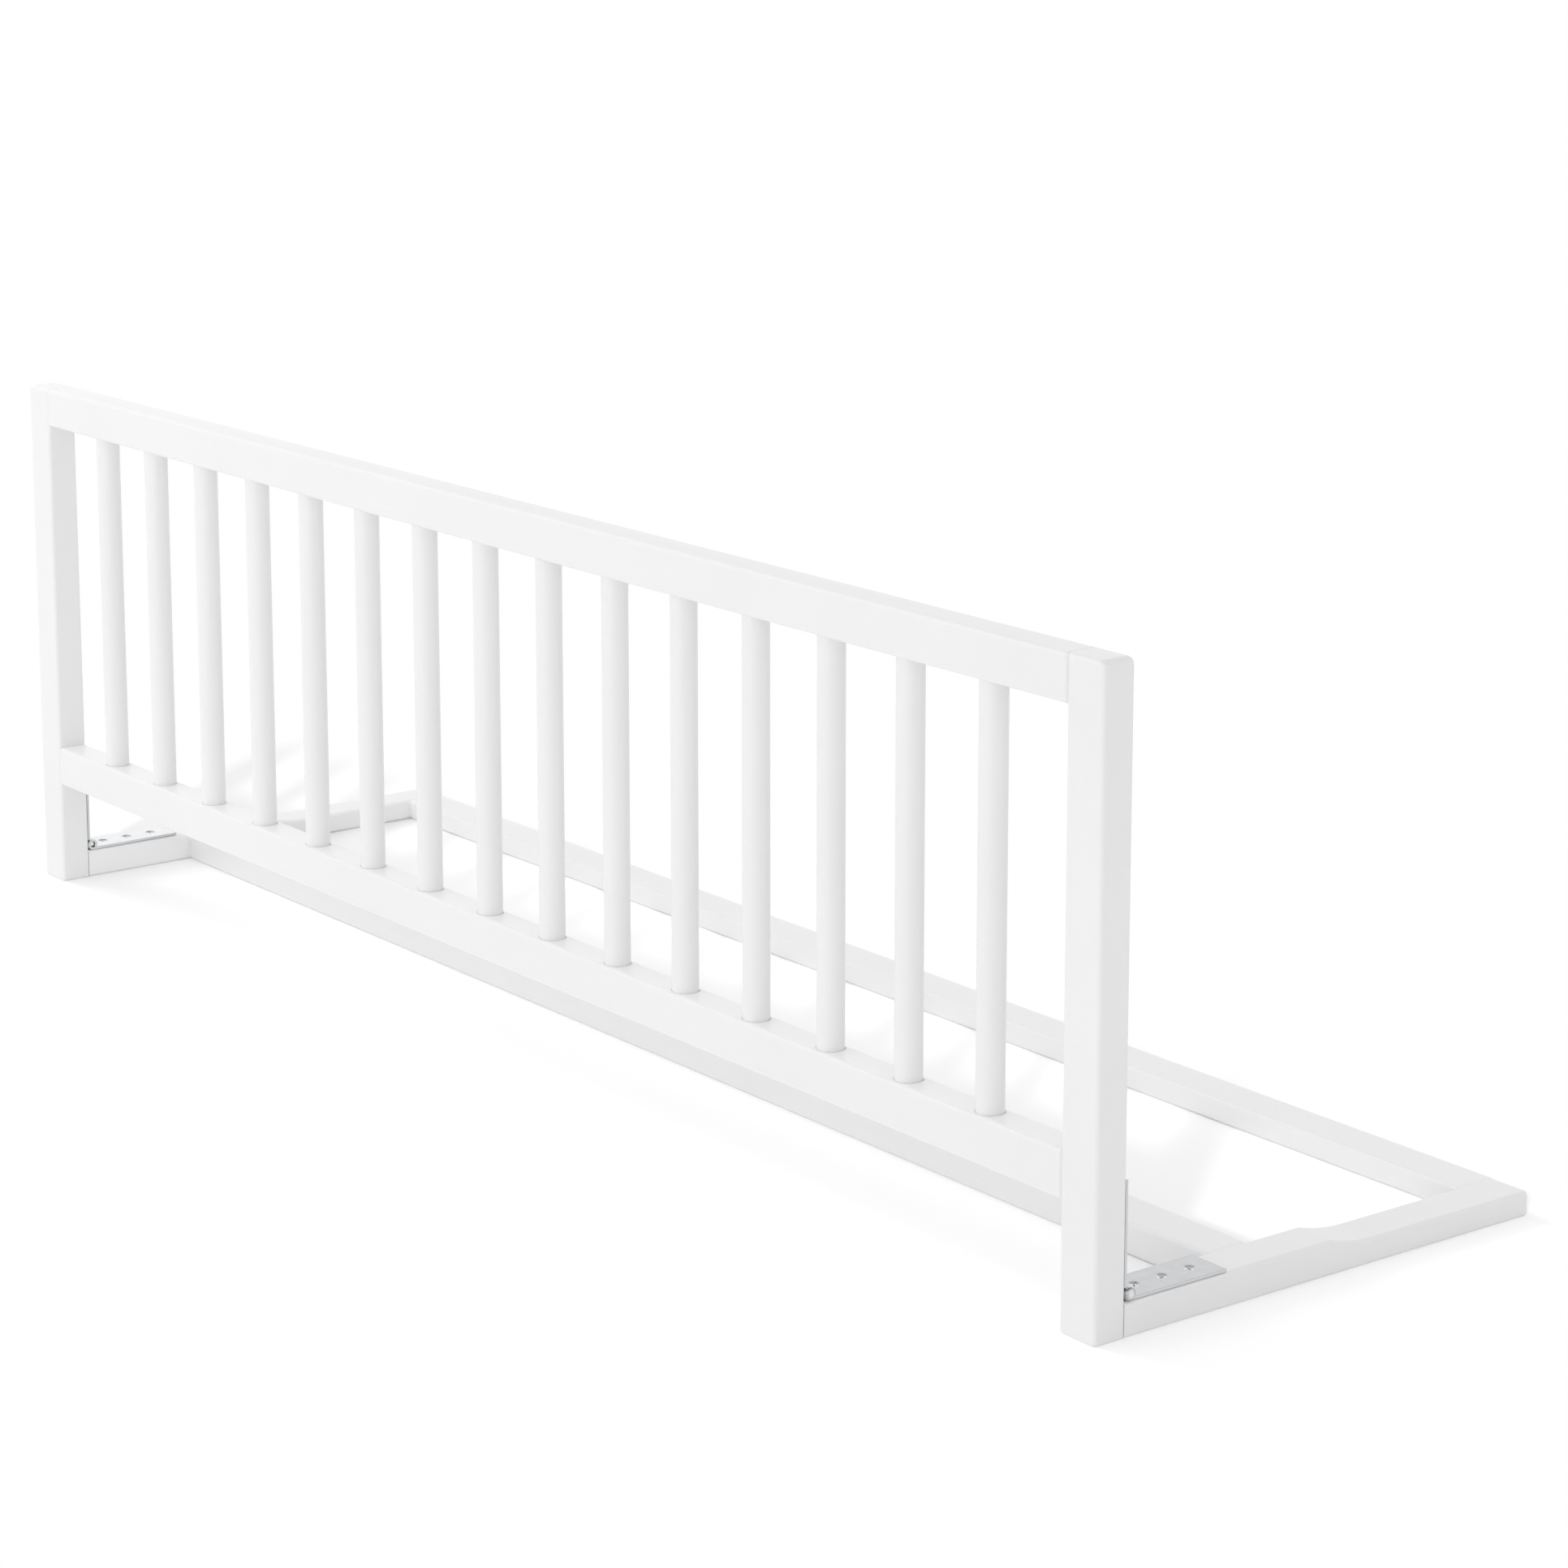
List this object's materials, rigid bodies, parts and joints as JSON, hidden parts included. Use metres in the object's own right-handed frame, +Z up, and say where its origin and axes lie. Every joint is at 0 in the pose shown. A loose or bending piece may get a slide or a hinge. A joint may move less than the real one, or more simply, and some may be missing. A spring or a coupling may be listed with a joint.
{
  "type": "bed guard rail",
  "caption": "Folding wooden bed guard rail: a white upright panel of round balusters, hinged to a flat ladder base that goes under the mattress.",
  "frame": {"origin": "on the floor, under the middle of the whole guard's box", "axes": "+X along the guard, +Y from the upright panel to the back of the base, +Z up"},
  "size_m": [1.203, 0.338, 0.376],
  "materials": {
    "white_lacquer": "white satin lacquer on planed beech",
    "zinc_steel": "bright zinc plating on rolled steel",
    "bare_beech": "unfinished"
  },
  "bodies": {
    "base_frame": {"left_side_rail": "white_lacquer", "right_side_rail": "white_lacquer", "front_cross_rail": "white_lacquer", "back_rail": "white_lacquer", "front_cross_rail_dowel_1_left": "bare_beech", "front_cross_rail_dowel_1_right": "bare_beech", "front_cross_rail_dowel_2_left": "bare_beech", "front_cross_rail_dowel_2_right": "bare_beech", "back_rail_dowel_1_left": "bare_beech", "back_rail_dowel_1_right": "bare_beech", "back_rail_dowel_2_left": "bare_beech", "back_rail_dowel_2_right": "bare_beech", "left_hinge_base_leaf": "zinc_steel", "right_hinge_base_leaf": "zinc_steel", "left_hinge_pin": "zinc_steel", "right_hinge_pin": "zinc_steel", "left_base_leaf_screw_1": "zinc_steel", "left_base_leaf_screw_2": "zinc_steel", "left_base_leaf_screw_3": "zinc_steel", "right_base_leaf_screw_1": "zinc_steel", "right_base_leaf_screw_2": "zinc_steel", "right_base_leaf_screw_3": "zinc_steel"},
    "guard_panel": {"left_post": "white_lacquer", "right_post": "white_lacquer", "top_rail": "white_lacquer", "bottom_rail": "white_lacquer", "baluster_01": "white_lacquer", "baluster_02": "white_lacquer", "baluster_03": "white_lacquer", "baluster_04": "white_lacquer", "baluster_05": "white_lacquer", "baluster_06": "white_lacquer", "baluster_07": "white_lacquer", "baluster_08": "white_lacquer", "baluster_09": "white_lacquer", "baluster_10": "white_lacquer", "baluster_11": "white_lacquer", "baluster_12": "white_lacquer", "baluster_13": "white_lacquer", "baluster_14": "white_lacquer", "baluster_15": "white_lacquer", "top_rail_dowel_1_left": "bare_beech", "top_rail_dowel_1_right": "bare_beech", "top_rail_dowel_2_left": "bare_beech", "top_rail_dowel_2_right": "bare_beech", "bottom_rail_dowel_1_left": "bare_beech", "bottom_rail_dowel_1_right": "bare_beech", "bottom_rail_dowel_2_left": "bare_beech", "bottom_rail_dowel_2_right": "bare_beech", "left_hinge_post_leaf": "zinc_steel", "right_hinge_post_leaf": "zinc_steel", "left_post_leaf_screw_1": "zinc_steel", "left_post_leaf_screw_2": "zinc_steel", "left_post_leaf_screw_3": "zinc_steel", "right_post_leaf_screw_1": "zinc_steel", "right_post_leaf_screw_2": "zinc_steel", "right_post_leaf_screw_3": "zinc_steel"}
  },
  "joints": [
    {"name": "panel_fold", "type": "hinge", "parent": "base_frame", "child": "guard_panel", "pos_m": [0, -0.14352, 0.02448], "axis": [-1, 0, 0], "range_deg": [0, 92]}
  ]
}
